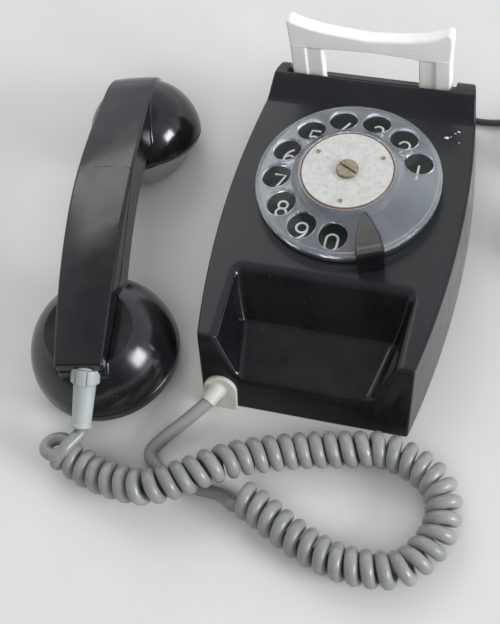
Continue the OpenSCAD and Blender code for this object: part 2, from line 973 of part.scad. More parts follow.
module handset_shell() {
    color([0.05, 0.05, 0.06])
        laid_down()
            difference() {
                union() {
                    difference() {
                        translate([0, mouth_y, mouth_z])
                            sphere(mouth_r, $fn = 128);
                        translate([-50, mouth_y - 50, -40])
                            cube([100, 100, 40 + seam_z]);
                    }
                    difference() {
                        translate([0, ear_y, ear_z])
                            sphere(ear_r, $fn = 128);
                        translate([-50, ear_y - 50, -40])
                            cube([100, 100, 40 + seam_z]);
                    }
                    handle_bar();
                }
                translate([0, mouth_y, mouth_z])
                    intersection() {
                        sphere(mouth_r - wall, $fn = 96);
                        translate([-50, -50, -10])
                            cube([100, 100, 32]);
                    }
                translate([0, ear_y, ear_z])
                    intersection() {
                        sphere(ear_r - wall, $fn = 96);
                        translate([-50, -50, -10])
                            cube([100, 100, 32]);
                    }
                cover_side(-0.25);
                gland_seat();
                block([-7, handle_end + 12, 34], [7, 40, 36.5]);
            }
}

module cap(r, at_y) {
    color([0.05, 0.05, 0.06])
        laid_down()
            translate([0, at_y, 0])
                difference() {
                    rotate_extrude()
                        polygon([
                            [0, 2.6], [r * 0.55, 1.6], [r * 0.78, 0], [r * 0.9, 0.6],
                            [r * 0.97, 3.6], [r, seam_z - 0.3], [r - 2.4, seam_z - 0.3],
                            [r - 3, 4.6], [0, 4.6]
                        ]);
                    for (i = [0:5])
                        rotate([0, 0, 60 * i])
                            translate([6, 0, -1])
                                cylinder(h = 8, r = 1, $fn = 24);
                    translate([0, 0, -1])
                        cylinder(h = 8, r = 1, $fn = 24);
                }
}

module ear_cap() {
    cap(ear_r - 0.2, ear_y);
}

module mouth_cap() {
    cap(mouth_r - 0.3, mouth_y);
}

module receiver_capsule() {
    color([0.7, 0.7, 0.72])
        laid_down()
            translate([0, ear_y, 4.8])
                cylinder(h = 10, r = 21);
}

module microphone_capsule() {
    color([0.7, 0.7, 0.72])
        laid_down()
            translate([0, mouth_y, 4.8])
                cylinder(h = 10, r = 23);
}

module handset_gland() {
    color([0.66, 0.67, 0.66])
        laid_down() {
            rod(gland_root, gland_tip, 4.9, 4.1);
            rod(gland_tip - 0.06 * (gland_tip - gland_root), gland_tip, 4.7, 4.7);
        }
}

housing();
base_plate();
housing_screw();
number_plate();
dial_frame();
dial_pillars();
dial_back_plate();
finger_stop();
spring_cup();
main_spring();
governor_drum();
contact_block();
pulse_contacts();
hook_bracket();
hook_pin();
switch_block();
switch_contacts();
circuit_board();
transformer();
capacitor();
terminal_block();
terminal_screws();
ringer_coil();
ringer_yoke();
gongs();
gong_screws();
cord_gland();
line_gland();
handset_cord();
handset_cord_lead();
line_cord();
line_coil();
coil_tie();
line_plug();
plug_pins();
finger_wheel();
number_card();
card_rivets();
wheel_screw();
dial_shaft();
drive_gear();
idler_arbor();
idler_pinion();
crown_gear();
pulse_cam();
governor_spindle();
governor_weights();
hook_cradle();
hook_arm();
switch_plunger();
clapper();
handset_shell();
handle_cover();
ear_cap();
mouth_cap();
receiver_capsule();
microphone_capsule();
handset_gland();
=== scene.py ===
"""A rotary wall telephone lying on its back, with its handset beside it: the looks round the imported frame."""

import itertools
import json
import math
import random

import bpy
import numpy as np
from mathutils import Matrix, Vector


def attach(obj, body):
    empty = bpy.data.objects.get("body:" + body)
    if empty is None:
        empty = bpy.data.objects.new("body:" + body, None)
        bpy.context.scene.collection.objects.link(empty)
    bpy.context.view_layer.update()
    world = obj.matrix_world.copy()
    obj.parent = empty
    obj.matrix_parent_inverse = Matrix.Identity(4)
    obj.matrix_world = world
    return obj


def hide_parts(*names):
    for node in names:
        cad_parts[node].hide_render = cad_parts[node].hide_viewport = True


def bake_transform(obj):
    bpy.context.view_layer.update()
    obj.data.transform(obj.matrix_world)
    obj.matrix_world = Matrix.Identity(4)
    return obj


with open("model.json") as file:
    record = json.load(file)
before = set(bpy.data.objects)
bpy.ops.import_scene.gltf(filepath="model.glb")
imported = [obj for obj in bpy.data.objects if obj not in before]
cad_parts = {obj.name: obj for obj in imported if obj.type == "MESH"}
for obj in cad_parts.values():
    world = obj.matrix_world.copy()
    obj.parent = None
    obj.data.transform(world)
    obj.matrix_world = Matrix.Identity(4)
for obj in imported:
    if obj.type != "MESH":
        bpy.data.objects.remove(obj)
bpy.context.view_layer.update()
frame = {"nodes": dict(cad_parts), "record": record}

MM = 0.001  # the sizes below are in millimetres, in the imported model's own frame
rng = random.Random(7)

# ---------------------------------------------------------------- sizes

# housing
HALF_W, FACE_Z, BOTTOM_Y, TOP_Y, WALL = 49.9, 35.0, -92.5, 66.0, 2.4
SIDE_R, SIDE_Y, DRAFT = 390.0, -12.5, 1.0
CREASE_Y, BROW_Y, LIP_Y, LIP_Z = -81.0, 41.5, 50.5, 42.5
SLOT_Y, REAR_Z, SLOT_Z, SLOT_CEILING_Z, SLOT_CLEARANCE = (52.0, 60.5), 32.0, 27.0, 28, 2
POCKET_TOP_Y, POCKET_BACK_Y = -46.5, -61.0
POCKET_FLOOR_Z, POCKET_HALF = (16.5, 14.2), (36.6, 26.5)
DIAL_HOLE_R = 33.0

# cradle
CRADLE_X, CRADLE_HALF, CRADLE_TOP = -2.0, 35.0, 66.0
CRADLE_FRONT, CRADLE_BACK = 54, 60
HOOK_FOOT_HALF, HOOK_AXLE_Y, HOOK_AXLE_Z, HOOK_AXLE_R, HOOK_PIN_R = 27.6, 57, 22, 3.6, 1.55

# dial
WHEEL_R, HOLE_PITCH_R, FINGER_R, FIRST_HOLE, HOLE_STEP = 39.0, 30.0, 6.0, 23.4, 27.5
SHAFT_HOLE_R, CARD_SEAT_R = 3.02, 19
PLATE_TOP, CARD_TOP, CARD_RIM_R = 36.2, 46.8, 19.3
NUMERAL_R, NUMERAL_H, NUMERAL_STROKE, NUMERAL_TURN, NUMERAL_SHIFT = 29.5, 9.0, 0.95, -1.5, -0.4
SCREW_R, SCREW_SLOT_TURN = 4.6, math.radians(-28)

# handset
HAND_X, HAND_Y, HAND_TURN = -96.3, -28.0, math.radians(9.5)
HAND_LEAN, LEAN_Z = math.radians(4.5), 12.0
MOUTH, MOUTH_R, MOUTH_SEAM_Z = np.array([0.1, -56.2, 10.2]), 31.6, 12.4
EAR, EAR_R, EAR_TILT = np.array([2.6, 57.0, 13.6]), 25.6, math.radians(21)
HANDLE_HALF_W, HANDLE_SIDE_R, HANDLE_END_Y = 12.4, 1300, -78.7
HANDLE_BACK_Z, HANDLE_BACK_R, HANDLE_CROWN = 50, 294, 0.003
HANDLE_UNDER_Z, HANDLE_UNDER_R, EAR_RUN_SLOPE = 34, 123, 0.247
COVER_START, COVER_BEND, COVER_END = (-83.5, 33.5), (-58.5, 36), (14, 49)

# strain relief and the telephone's own cord gland
BOOT_ROOT, BOOT_TIP = np.array([-83.8, -104.8, 31.7]), np.array([-83.65, -121.8, 17.0])
BOOT_HOLE, BOOT_HOLE_R, BOOT_SEAT_DEPTH = np.array([-81.0, -107.2, 29.9]), 6.6, 1.2
BOOT_R, BOOT_TAPER, BOOT_COLLAR_R, BOOT_RING_R = 4.75, 0.85, 5.9, 4.45
GLAND_X, GLAND_HALF, GLAND_RISE = -35, 7, 9
COLLAR_ROOT, COLLAR_TIP = np.array([-35.5, -88.5, 9.0]), np.array([-39, -97, 8.0])

# cords
CURL_D, LEAD_D, LINE_D = 15.0, 5.4, 3.0
CURL_PITCH, CURL_STEP, WIRE_STEP, LINE_STEP = 6.15, 0.25, 1.5, 1.2
LINE_COIL, LINE_COIL_R, COIL_LAYERS, COIL_STEPS = np.array([88.0, 60.0]), 21.1, (1.6, 4.6, 7.6), 40
PLUG_X, PLUG_HALF, PLUG_TAPER = 92, 11, 4.2

# camera and light
EYE, YAW, PITCH, ROLL = (90.3, -306.4, 463.4), math.radians(-25.8), math.radians(58.18), math.radians(-12.82)
SENSOR, LENS = 36, 72.9
WORLD_POWER, CEILING_SHARE, ROOM_SHARE, HORIZON_SHARE = 0.88, 0.52, 0.10, 1.3


def laid(p):
    """A place in the handset's frame, in the telephone's frame: it leans a little and is turned."""
    p = np.asarray(p, float)
    c, s = math.cos(HAND_LEAN), math.sin(HAND_LEAN)
    x, y, z = p[..., 0] * c - (p[..., 2] - LEAN_Z) * s, p[..., 1], p[..., 0] * s + (p[..., 2] - LEAN_Z) * c
    c, s = math.cos(HAND_TURN), math.sin(HAND_TURN)
    return np.stack([HAND_X + x * c - y * s, HAND_Y + x * s + y * c, z + LEAN_Z], axis=-1)


def unlaid(p):
    """The other way round: a place in the telephone's frame, in the handset's."""
    p = np.asarray(p, float) - (HAND_X, HAND_Y, LEAN_Z)
    c, s = math.cos(HAND_TURN), math.sin(HAND_TURN)
    x, y, z = p[..., 0] * c + p[..., 1] * s, p[..., 1] * c - p[..., 0] * s, p[..., 2]
    c, s = math.cos(HAND_LEAN), math.sin(HAND_LEAN)
    return np.stack([x * c + z * s, y, z * c - x * s + LEAN_Z], axis=-1)


# ---------------------------------------------------------------- camera, light, floor


def aim_camera():
    """The photograph's viewing angle."""
    ahead = Vector((math.sin(YAW) * math.cos(PITCH), math.cos(YAW) * math.cos(PITCH), -math.sin(PITCH)))
    level = Vector((math.cos(YAW), -math.sin(YAW), 0))
    rise = level.cross(ahead)
    right = math.cos(ROLL) * level + math.sin(ROLL) * rise
    up = math.cos(ROLL) * rise - math.sin(ROLL) * level
    camera = bpy.data.objects.new("camera", bpy.data.cameras.new("camera"))
    bpy.context.scene.collection.objects.link(camera)
    turn = Matrix((right, up, -ahead)).transposed()
    camera.matrix_world = Matrix.Translation(Vector(EYE) * MM) @ turn.to_4x4()
    camera.data.sensor_width = SENSOR
    camera.data.lens = LENS
    camera.data.clip_start = 0.01
    bpy.context.scene.camera = camera


def area_light(name, at, toward, size, power, colour, mirrored=True):
    """A soft light. It isn't seen in glossy surfaces where mirrored is False."""
    light = bpy.data.lights.new(name, "AREA")
    light.shape = "RECTANGLE"
    light.size, light.size_y = size
    light.energy = power
    light.color = colour
    lamp = bpy.data.objects.new(name, light)
    bpy.context.scene.collection.objects.link(lamp)
    lamp.location = at
    lamp.rotation_euler = (Vector(toward) - Vector(at)).to_track_quat("-Z", "Y").to_euler()
    lamp.visible_glossy = mirrored


def light_scene():
    """A room dimmer overhead and behind the viewer and brighter low down, with three soft lights."""
    world = bpy.data.worlds.new("room")
    world.use_nodes = True
    nodes, links = world.node_tree.nodes, world.node_tree.links
    place = nodes.new("ShaderNodeTexCoord")
    split = nodes.new("ShaderNodeSeparateXYZ")
    links.new(place.outputs["Generated"], split.inputs["Vector"])

    def ease(value, a, b, low, high):
        n = nodes.new("ShaderNodeMapRange")
        n.interpolation_type = "SMOOTHSTEP"
        n.inputs["From Min"].default_value = a
        n.inputs["From Max"].default_value = b
        n.inputs["To Min"].default_value = low
        n.inputs["To Max"].default_value = high
        links.new(value, n.inputs["Value"])
        return n.outputs["Result"]

    ceiling = ease(split.outputs["Z"], 0.78, 0.90, 1.0, CEILING_SHARE)
    room = ease(split.outputs["Y"], -0.85, -0.2, ROOM_SHARE, 1.0)
    horizon = ease(split.outputs["Z"], 0.15, 0.55, WORLD_POWER * HORIZON_SHARE, WORLD_POWER)

    def times(a, b):
        n = nodes.new("ShaderNodeMath")
        n.operation = "MULTIPLY"
        links.new(a, n.inputs[0])
        links.new(b, n.inputs[1])
        return n.outputs[0]

    back = nodes["Background"]
    back.inputs["Color"].default_value = (0.90, 0.94, 1.0, 1)
    links.new(times(times(ceiling, room), horizon), back.inputs["Strength"])
    bpy.context.scene.world = world
    bpy.context.scene.view_settings.view_transform = "Standard"
    area_light("window", (2.6, -0.56, 0.95), (0, -0.03, 0), (1.0, 0.95), 75, (0.92, 0.96, 1.0))
    area_light("fill", (0.2, -1.9, 2.3), (0, 0, 0), (2.0, 1.6), 26, (1.0, 0.98, 0.95), mirrored=False)
    area_light("room", (-1.4, 2.2, 2.6), (0, 0, 0), (2.2, 1.8), 30, (1.0, 0.97, 0.93))


def lay_floor():
    """A plain pale table, just under the object's lowest point."""
    mesh = bpy.data.meshes.new("floor")
    far = 4.0
    mesh.from_pydata([(-far, -far, 0), (far, -far, 0), (far, far, 0), (-far, far, 0)], [], [(0, 1, 2, 3)])
    floor = bpy.data.objects.new("floor", mesh)
    bpy.context.scene.collection.objects.link(floor)
    floor.location.z = -0.0001
    mesh.materials.append(surface("floor_paint", [(0.60, 0.60, 0.575), (0.635, 0.635, 0.61)], (0.5, 0.62), 9))


# ---------------------------------------------------------------- materials


def surface(name, tones, rough, grain, bump=0.0, bump_grain=900, haze=None, specks=None, **sockets):
    """Two tones and two roughnesses mixed by noise, with a fine bump.
    haze = (low z, high z, tone, roughness) is wear above a height, and specks = (grain, share, tone)."""
    material = bpy.data.materials.new(name)
    material.use_nodes = True
    nodes, links = material.node_tree.nodes, material.node_tree.links
    shader = nodes["Principled BSDF"]
    place = nodes.new("ShaderNodeTexCoord")

    def noise(scale, detail=4.0):
        n = nodes.new("ShaderNodeTexNoise")
        n.inputs["Scale"].default_value = scale
        n.inputs["Detail"].default_value = detail
        links.new(place.outputs["Object"], n.inputs["Vector"])
        return n.outputs["Fac"]

    def spread(value, a, b, low, high):
        n = nodes.new("ShaderNodeMapRange")
        n.inputs["From Min"].default_value = a
        n.inputs["From Max"].default_value = b
        n.inputs["To Min"].default_value = low
        n.inputs["To Max"].default_value = high
        links.new(value, n.inputs["Value"])
        return n.outputs["Result"]

    def blend(share, a, b):
        n = nodes.new("ShaderNodeMix")
        n.data_type = "RGBA"
        links.new(share, n.inputs["Factor"])
        for value, socket in ((a, n.inputs[6]), (b, n.inputs[7])):
            if isinstance(value, bpy.types.NodeSocket):
                links.new(value, socket)
            else:
                socket.default_value = (*value, 1)
        return n.outputs[2]

    colour = blend(spread(noise(grain), 0.35, 0.65, 0, 1), tones[0], tones[1])
    roughness = spread(noise(grain * 2.7), 0.3, 0.7, rough[0], rough[1])
    if specks:
        colour = blend(spread(noise(specks[0], 2), specks[1], specks[1] + 0.05, 0, 1), colour, specks[2])
    if haze:
        split = nodes.new("ShaderNodeSeparateXYZ")
        links.new(place.outputs["Object"], split.inputs["Vector"])
        worn = spread(split.outputs["Z"], haze[0] * MM, haze[1] * MM, 0, 1)
        patchy = nodes.new("ShaderNodeMath")
        patchy.operation = "MULTIPLY"
        links.new(worn, patchy.inputs[0])
        links.new(spread(noise(38), 0.25, 0.6, 0.55, 1), patchy.inputs[1])
        colour = blend(patchy.outputs[0], colour, haze[2])
        mix = nodes.new("ShaderNodeMix")
        links.new(patchy.outputs[0], mix.inputs["Factor"])
        links.new(roughness, mix.inputs[2])
        mix.inputs[3].default_value = haze[3]
        roughness = mix.outputs[0]
    links.new(colour, shader.inputs["Base Color"])
    links.new(roughness, shader.inputs["Roughness"])
    if bump:
        relief = nodes.new("ShaderNodeBump")
        relief.inputs["Strength"].default_value = bump
        relief.inputs["Distance"].default_value = 0.0002
        links.new(noise(bump_grain), relief.inputs["Height"])
        links.new(relief.outputs["Normal"], shader.inputs["Normal"])
    for socket, value in sockets.items():
        shader.inputs[socket.replace("_", " ")].default_value = value
    return material


def mix_finishes():
    """One material for each slot of the record, and a worn black one for the housing."""
    dark, mid, dust = (0.005, 0.005, 0.006), (0.011, 0.011, 0.012), (1500, 0.70, (0.07, 0.07, 0.07))
    return {
        "black_plastic": surface(
            "black_plastic", [dark, mid], (0.10, 0.24), 45, 0.05, 700, specks=dust,
        ),
        "worn_plastic": surface(
            "worn_plastic", [dark, mid], (0.10, 0.22), 45, 0.05, 700,
            haze=(33.8, 35.0, (0.015, 0.017, 0.019), 0.36), specks=dust, Specular_IOR_Level=0.3,
        ),
        "black_plate": surface(
            "black_plate", [(0.012, 0.012, 0.012), (0.020, 0.019, 0.016)], (0.38, 0.55), 120,
        ),
        "clear_plastic": surface(
            "clear_plastic", [(0.62, 0.66, 0.72), (0.80, 0.84, 0.88)], (0.07, 0.18), 60, 0.06, 500,
            Transmission_Weight=0.86, IOR=1.49,
        ),
        "card_grey": surface(
            "card_grey", [(0.47, 0.47, 0.44), (0.55, 0.55, 0.515)], (0.55, 0.75), 420, 0.25, 1600,
            specks=(900, 0.62, (0.36, 0.36, 0.33)),
        ),
        "cream_nylon": surface(
            "cream_nylon", [(0.83, 0.82, 0.78), (0.88, 0.87, 0.84)], (0.32, 0.48), 60, 0.10, 500,
            Subsurface_Weight=0.15, Subsurface_Scale=0.004,
        ),
        "grey_pvc": surface(
            "grey_pvc", [(0.190, 0.200, 0.183), (0.250, 0.255, 0.234)], (0.26, 0.42), 55, 0.10, 1300,
            specks=(420, 0.66, (0.20, 0.17, 0.16)),
        ),
        "grey_boot": surface(
            "grey_boot", [(0.30, 0.32, 0.31), (0.36, 0.38, 0.37)], (0.34, 0.48), 70, 0.1, 900,
        ),
        "beige_gland": surface(
            "beige_gland", [(0.40, 0.40, 0.36), (0.52, 0.51, 0.46)], (0.4, 0.55), 110, 0.1, 900,
        ),
        "dark_cord": surface(
            "dark_cord", [(0.030, 0.033, 0.038), (0.045, 0.048, 0.055)], (0.35, 0.5), 90, 0.1, 900,
        ),
        "steel": surface(
            "steel", [(0.50, 0.50, 0.51), (0.62, 0.62, 0.62)], (0.25, 0.42), 150, 0.1, Metallic=1,
        ),
        "zinc_plate": surface(
            "zinc_plate", [(0.42, 0.43, 0.45), (0.55, 0.55, 0.53)], (0.35, 0.55), 90, 0.15, Metallic=1,
        ),
        "brass": surface(
            "brass", [(0.20, 0.17, 0.12), (0.30, 0.26, 0.19)], (0.38, 0.6), 500, 0.3, 1800, Metallic=0.6,
        ),
        "spring_steel": surface(
            "spring_steel", [(0.22, 0.23, 0.27), (0.32, 0.33, 0.36)], (0.25, 0.4), 150, Metallic=1,
        ),
        "fibre_board": surface("fibre_board", [(0.03, 0.10, 0.05), (0.05, 0.14, 0.07)], (0.45, 0.6), 120),
        "brown_bakelite": surface(
            "brown_bakelite", [(0.10, 0.05, 0.025), (0.16, 0.08, 0.04)], (0.3, 0.5), 90,
        ),
        "copper_coil": surface(
            "copper_coil", [(0.45, 0.18, 0.09), (0.62, 0.28, 0.14)], (0.25, 0.4), 1100, 0.4, Metallic=1,
        ),
        "blue_can": surface("blue_can", [(0.04, 0.10, 0.30), (0.06, 0.14, 0.38)], (0.3, 0.45), 70),
        "red_cam": surface("red_cam", [(0.45, 0.03, 0.02), (0.55, 0.05, 0.03)], (0.35, 0.5), 90),
        "bell_metal": surface(
            "bell_metal", [(0.55, 0.50, 0.38), (0.66, 0.61, 0.48)], (0.18, 0.34), 90, Metallic=1,
        ),
    }


# ---------------------------------------------------------------- meshes


def add_piece(name, points, faces, body, slot, normals=None, replaces=(), finish=None):
    """Makes a mesh piece from points in millimetres, dresses it and lets it ride on its body."""
    mesh = bpy.data.meshes.new(name)
    mesh.from_pydata((np.asarray(points) * MM).tolist(), [], [list(map(int, f)) for f in faces])
    mesh.shade_smooth()
    if normals is not None:
        mesh.normals_split_custom_set_from_vertices(normals.tolist())
    mesh.materials.append(finishes[finish or slot])
    piece = bpy.data.objects.new(name, mesh)
    bpy.context.scene.collection.objects.link(piece)
    if body:
        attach(piece, body)
    if replaces:
        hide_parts(*replaces)
    return piece


def unit(v):
    v = np.asarray(v, float)
    return v / np.linalg.norm(v)


def frames_along(path):
    """Directions along a path, with a side and an up that turn as little as they can."""
    along = np.gradient(path, axis=0)
    along /= np.linalg.norm(along, axis=1)[:, None]
    side = np.cross(along[0], [0, 0, 1.0])
    if np.linalg.norm(side) < 0.05:
        side = np.cross(along[0], [0, 1.0, 0])
    sides = []
    for t in along:
        side = unit(side - t * (side @ t))
        sides.append(side)
    sides = np.array(sides)
    return along, sides, np.cross(sides, along)


def tube(path, radii, sides=12):
    """Points and faces of a round tube with closed ends."""
    path = np.asarray(path, float)
    radii = np.broadcast_to(radii, len(path))
    _, side, up = frames_along(path)
    angles = np.linspace(0, 2 * math.pi, sides, endpoint=False)
    rings = path[:, None] + radii[:, None, None] * (
        np.cos(angles)[None, :, None] * side[:, None] + np.sin(angles)[None, :, None] * up[:, None]
    )
    faces = []
    for i in range(len(path) - 1):
        for k in range(sides):
            a, b = i * sides + k, i * sides + (k + 1) % sides
            faces.append((a, b, b + sides, a + sides))
    faces.append(tuple(range(sides))[::-1])
    faces.append(tuple((len(path) - 1) * sides + k for k in range(sides)))
    return rings.reshape(-1, 3), faces


def smooth(points, n):
    """A smooth curve through a list of points, n steps to each."""
    p = np.asarray(points, float)
    out = []
    for i in range(len(p) - 1):
        a, b, c, d = p[max(i - 1, 0)], p[i], p[i + 1], p[min(i + 2, len(p) - 1)]
        for t in np.arange(n) / n:
            square, cube = (2 * a - 5 * b + 4 * c - d) * t**2, (3 * b - a - 3 * c + d) * t**3
            out.append(0.5 * (2 * b + (c - a) * t + square + cube))
    return np.array(out + [p[-1]])


def evenly(path, step):
    """The same path with its points a fixed step apart."""
    run = np.concatenate([[0], np.cumsum(np.linalg.norm(np.diff(path, axis=0), axis=1))])
    at = np.linspace(0, run[-1], max(2, int(round(run[-1] / step)) + 1))
    return np.stack([np.interp(at, run, path[:, k]) for k in range(3)], axis=1)


# ---------------------------------------------------------------- solids as distance fields


def join(a, b, r):
    """Both solids, with a fillet of radius r between them."""
    return np.maximum(r, np.minimum(a, b)) - np.hypot(np.maximum(r - a, 0), np.maximum(r - b, 0))


def meet(a, b, r):
    """What is in both solids, with its new edge rounded to radius r."""
    return -join(-a, -b, r)


def cut(a, b, r):
    """The first solid without the second, with the new edge rounded."""
    return meet(a, -b, r)


def soft_max(a, b, blend):
    """The larger of two fields, eased over where they are nearly the same."""
    return np.maximum(a, b) + np.maximum(blend - np.abs(a - b), 0) ** 2 / (4 * blend)


def line(u, v, a, b):
    """Distance of (u, v) from the line from a to b, positive on its left."""
    du, dv = b[0] - a[0], b[1] - a[1]
    return ((v - a[1]) * du - (u - a[0]) * dv) / math.hypot(du, dv)


def outline(u, v, points):
    """Signed distance to a polygon, negative inside it."""
    nearest, inside = None, None
    for a, b in zip(points, points[1:] + points[:1]):
        eu, ev = b[0] - a[0], b[1] - a[1]
        wu, wv = u - a[0], v - a[1]
        t = np.clip((wu * eu + wv * ev) / (eu * eu + ev * ev), 0, 1)
        d = np.hypot(wu - eu * t, wv - ev * t)
        crosses = ((a[1] > v) != (b[1] > v)) & (wu < eu * wv / (ev if ev else 1e-9))
        nearest = d if nearest is None else np.minimum(nearest, d)
        inside = crosses if inside is None else inside ^ crosses
    return np.where(inside, -nearest, nearest)


def slab(v, low, high):
    """What lies between two values."""
    return np.abs(v - (low + high) / 2) - (high - low) / 2


def brick(x, y, z, low, high, r):
    """A box with rounded edges."""
    q = [slab(v, a, b) + r for v, a, b in zip((x, y, z), low, high)]
    outside = np.sqrt(sum(np.maximum(v, 0) ** 2 for v in q))
    return outside + np.minimum(np.maximum(np.maximum(q[0], q[1]), q[2]), 0) - r


def rod(x, y, z, a, b, r1, r2):
    """A cone between two points, with flat ends."""
    axis = np.asarray(b, float) - a
    span = np.linalg.norm(axis)
    axis /= span
    dx, dy, dz = x - a[0], y - a[1], z - a[2]
    along = dx * axis[0] + dy * axis[1] + dz * axis[2]
    off = np.sqrt(np.maximum(dx * dx + dy * dy + dz * dz - along * along, 0))
    return np.maximum(off - (r1 + (r2 - r1) * np.clip(along / span, 0, 1)), slab(along, 0, span))


def slopes(field, p, h=0.02):
    """The field's gradient at each point."""
    grad = [(field(*(p + d).T) - field(*(p - d).T)) / (2 * h) for d in np.eye(3) * h]
    return np.stack(grad, axis=1)


def skin(field, low, high, step):
    """Points, faces and normals of the surface where a field is zero, by surface nets."""
    count = [int(round((b - a) / step)) + 1 for a, b in zip(low, high)]
    axes = [a + step * np.arange(n) for a, n in zip(low, count)]
    grid = np.meshgrid(*axes, indexing="ij", sparse=True)
    value = np.array(np.broadcast_to(field(*grid), count), np.float32)
    value[value == 0] = 1e-6
    inside = value < 0
    cells = [n - 1 for n in count]
    filled = np.zeros(cells, np.int8)
    for c in itertools.product((0, 1), repeat=3):
        filled += inside[tuple(slice(k, k + n) for k, n in zip(c, cells))]
    mixed = (filled > 0) & (filled < 8)
    cell = np.argwhere(mixed)
    number = np.full(cells, -1)
    number[mixed] = np.arange(len(cell))
    spot, hits = np.zeros((len(cell), 3)), np.zeros(len(cell))
    faces = []
    for axis in range(3):
        other, third = (axis + 1) % 3, (axis + 2) % 3
        for pair in itertools.product((0, 1), repeat=2):
            start = np.zeros(3, int)
            start[other], start[third] = pair
            end = start.copy()
            end[axis] = 1
            fa, fb = value[tuple((cell + start).T)], value[tuple((cell + end).T)]
            crossed = (fa < 0) != (fb < 0)
            spot[crossed] += start
            spot[crossed, axis] += fa[crossed] / (fa[crossed] - fb[crossed])
            hits += crossed
        first, second = [slice(None)] * 3, [slice(None)] * 3
        first[axis], second[axis] = slice(None, -1), slice(1, None)
        edge = np.argwhere(inside[tuple(first)] != inside[tuple(second)])
        within = [(edge[:, k] > 0) & (edge[:, k] < cells[k]) for k in (other, third)]
        edge = edge[within[0] & within[1]]
        around = []
        for o, t in ((-1, -1), (0, -1), (0, 0), (-1, 0)):
            c = edge.copy()
            c[:, other] += o
            c[:, third] += t
            around.append(number[tuple(c.T)])
        quads = np.stack(around, axis=1)
        back = ~inside[tuple(edge.T)]
        quads[back] = quads[back][:, ::-1]
        faces.append(quads)
    points = np.array(low) + step * (cell + spot / hits[:, None])
    for _ in range(3):
        grad = slopes(field, points)
        size = np.maximum((grad**2).sum(axis=1), 0.05)
        move = (field(*points.T) / size)[:, None] * grad
        points -= np.clip(move, -step / 2, step / 2)
    grad = slopes(field, points)
    return points, np.concatenate(faces), grad / np.maximum(np.linalg.norm(grad, axis=1), 1e-6)[:, None]


def mould(name, field, low, high, step, body, slot, replaces=(), place=None, finish=None):
    """A piece whose surface is a distance field's, laid in place where it was drawn elsewhere."""
    points, faces, normals = skin(field, low, high, step)
    if place:
        origin = place(np.zeros(3))
        normals = place(normals) - origin
        points = place(points)
    return add_piece(name, points, faces, body, slot, normals, replaces, finish)


# ---------------------------------------------------------------- housing


def plan_field(x, y, z):
    """Between the two bowed sides, which draw in a little towards the face."""
    reach = SIDE_R + DRAFT - DRAFT / FACE_Z * z
    arcs = [np.hypot(x - s * (SIDE_R - HALF_W), y - SIDE_Y) - reach for s in (-1, 1)]
    return np.maximum(arcs[0], arcs[1])


def pocket_field(x, y, z):
    """The pocket for the mouth end, open towards the low end."""
    upper = line(y, z, (POCKET_TOP_Y, FACE_Z), (POCKET_BACK_Y, POCKET_FLOOR_Z[0]))
    floor = line(y, z, (POCKET_BACK_Y, POCKET_FLOOR_Z[0]), (BOTTOM_Y - 8, POCKET_FLOOR_Z[1]))
    foot = POCKET_HALF[1] + 0.2 * (y + 87)
    half = foot + (POCKET_HALF[0] - foot) * (z - POCKET_FLOOR_Z[1]) / (FACE_Z - POCKET_FLOOR_Z[1])
    return meet(meet(upper, floor, 1), (np.abs(x) - half) / 1.1, 2.6)


def housing_field(x, y, z):
    """The housing as a shell, with its brow, pocket, cradle slot and dial hole."""
    low = line(y, z, (BOTTOM_Y, 0), (CREASE_Y, FACE_Z))
    brow = meet(line(y, z, (BROW_Y, FACE_Z), (LIP_Y, LIP_Z)), z - LIP_Z, 0.8)
    top = join(z - FACE_Z, brow, 1.0)
    ends = [
        (LIP_Y + 3, LIP_Z), (LIP_Y + 8.5, LIP_Z - 2), (TOP_Y - 3, FACE_Z), (TOP_Y - 1, FACE_Z - 9),
        (TOP_Y, 0),
    ]
    for a, b in zip(ends, ends[1:]):
        top = meet(top, line(y, z, a, b), 1.0)
    sides = plan_field(x, y, z)
    body = meet(meet(top, sides, 0.9), low, 0.9)
    body = np.maximum(body, -z)
    pocket = pocket_field(x, y, z)
    body = cut(body, pocket, 2.4)
    recess = (CRADLE_X - CRADLE_HALF - SLOT_CLEARANCE, CRADLE_X + CRADLE_HALF + SLOT_CLEARANCE)
    body = cut(body, brick(x, y, z, (recess[0], SLOT_Y[0], REAR_Z), (recess[1], TOP_Y + 9, 60), 0.3), 0.5)
    body = cut(body, brick(x, y, z, (recess[0], SLOT_Y[0], SLOT_Z), (recess[1], SLOT_Y[1], 60), 0.3), 0.4)
    ceiling = np.where(y > SLOT_Y[0] - 0.5, z - SLOT_CEILING_Z, z - FACE_Z + WALL)
    back = line(y, z, (TOP_Y - 3.4, 24), (TOP_Y - WALL, 0))
    hollow = np.maximum(np.maximum(sides + WALL, low + WALL), np.maximum(ceiling, back))
    hollow = np.maximum(hollow, WALL - pocket)
    dial_hole = np.maximum(np.hypot(x, y) - DIAL_HOLE_R, 20 - z)
    return np.maximum(np.maximum(body, -hollow), -dial_hole)


def build_housing():
    mould(
        "housing_shell", housing_field, (-52.5, -95, -1.2), (52.5, 68, 44.4), 0.6,
        "telephone", "black_plastic", ["housing"], finish="worn_plastic",
    )


# ---------------------------------------------------------------- cradle


